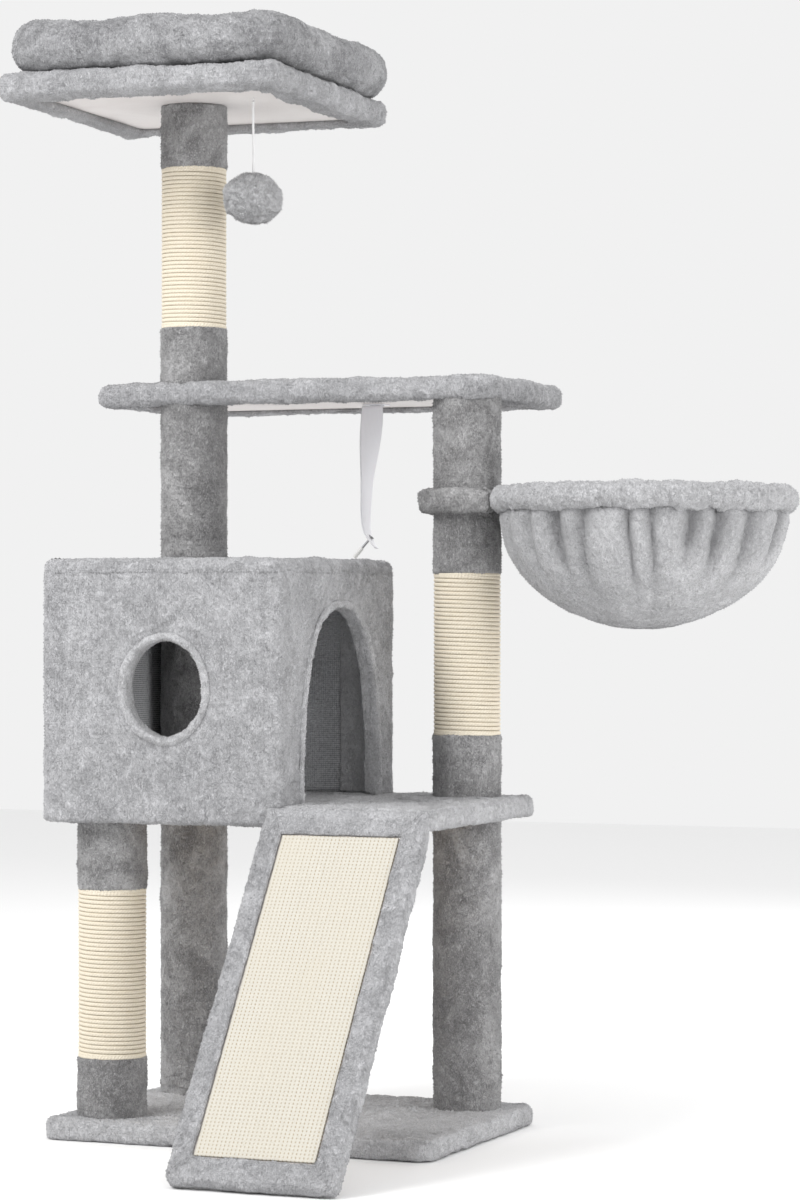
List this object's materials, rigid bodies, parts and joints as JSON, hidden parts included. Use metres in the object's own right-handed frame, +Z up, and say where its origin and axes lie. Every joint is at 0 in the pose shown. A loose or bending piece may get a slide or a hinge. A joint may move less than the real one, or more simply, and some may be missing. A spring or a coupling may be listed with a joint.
{
  "type": "cat tree",
  "caption": "Plush covered cat tree with a house, sisal wrapped posts, a ring hammock, a ramp, a shelf and a top perch with a loose bed.",
  "frame": {"origin": "centre of the base's underside, on the floor", "axes": "+Z up, +X towards the hammock, -Y towards the foot of the ramp"},
  "size_m": [0.975, 0.7973, 1.3553],
  "materials": {
    "board": "raw particle board",
    "painted_board": "off-white faced board",
    "plush": "short light grey plush with a brushed, mottled pile",
    "post_plush": "short mid grey plush wrapped tight on the posts",
    "rim_plush": "pale grey plush binding",
    "bed_plush": "soft light grey plush",
    "lining": "dark grey non-woven lining with a fine woven face",
    "sisal_rope": "twisted natural sisal rope, wound close",
    "sisal_mat": "pale woven sisal mat",
    "paper_tube": "spiral wound paper tube",
    "plug_wood": "raw wood",
    "zinc": "zinc plated steel",
    "dark_steel": "grey plated steel",
    "cord": "white twisted cord",
    "webbing": "white woven webbing",
    "nylon": "off-white nylon"
  },
  "bodies": {
    "tree": {"base_board": "board", "base_cover": "plush", "front_post_sleeve": "post_plush", "front_post_rope": "sisal_rope", "back_post_sleeve": "post_plush", "right_post_sleeve": "post_plush", "house_post_sleeve": "post_plush", "roof_post_sleeve": "post_plush", "tower_post_sleeve": "post_plush", "tower_post_rope": "sisal_rope", "lower_post_sleeve": "post_plush", "lower_post_rope": "sisal_rope", "upper_post_sleeve": "post_plush", "post_tubes": "paper_tube", "post_plugs": "plug_wood", "base_bolts": "zinc", "top_bolts": "zinc", "washers": "zinc", "joining_studs": "zinc", "deck_board": "board", "deck_cover": "plush", "front_wall": "board", "right_wall": "board", "back_wall": "board", "left_wall": "board", "house_screws": "zinc", "house_cover": "plush", "house_lining": "lining", "back_trim": "plush", "window_rim": "rim_plush", "door_rim": "rim_plush", "roof_board": "board", "roof_cover": "plush", "shelf_board": "painted_board", "shelf_cover": "plush", "perch_board": "painted_board", "perch_cover": "plush", "bracket_board": "board", "bracket_cover": "plush", "hammock_ring": "zinc", "ring_screws": "zinc", "hammock_rim": "bed_plush", "hammock_bowl": "bed_plush", "deck_leaves": "zinc", "hinge_pins": "zinc", "cord_anchor": "cord", "strap_tab": "webbing", "strap_screw": "zinc"},
    "bed": {"bed_bolster": "bed_plush", "bed_pad": "bed_plush"},
    "ramp": {"ramp_board": "painted_board", "ramp_cover": "plush", "ramp_mat": "sisal_mat", "ramp_leaves": "zinc"},
    "pompom_bend": {"cord_swivel": "cord"},
    "pompom": {"pompom_cord": "cord", "pompom_ball": "bed_plush"},
    "hanging_strap": {"strap": "webbing", "wall_screw": "dark_steel", "wall_plug": "nylon"}
  },
  "joints": [
    {"name": "bed_lift", "type": "slide", "parent": "tree", "child": "bed", "axis": [0, 0, 1], "range_m": [0, 0.15]},
    {"name": "ramp_hinge", "type": "hinge", "parent": "tree", "child": "ramp", "pos_m": [0.1485, -0.1765, 0.398], "axis": [-1, 0, 0], "range_deg": [0, 35]},
    {"name": "pompom_sway", "type": "hinge", "parent": "tree", "child": "pompom_bend", "pos_m": [-0.084, 0.068, 1.2602], "axis": [0, 1, 0], "range_deg": [-30, 9]},
    {"name": "pompom_swing", "type": "hinge", "parent": "pompom_bend", "child": "pompom", "pos_m": [-0.084, 0.068, 1.2602], "axis": [1, 0, 0], "range_deg": [-30, 30]},
    {"name": "strap_swing", "type": "hinge", "parent": "tree", "child": "hanging_strap", "pos_m": [0.011, 0.22, 0.8884], "axis": [1, 0, 0], "range_deg": [-30, 30]}
  ]
}
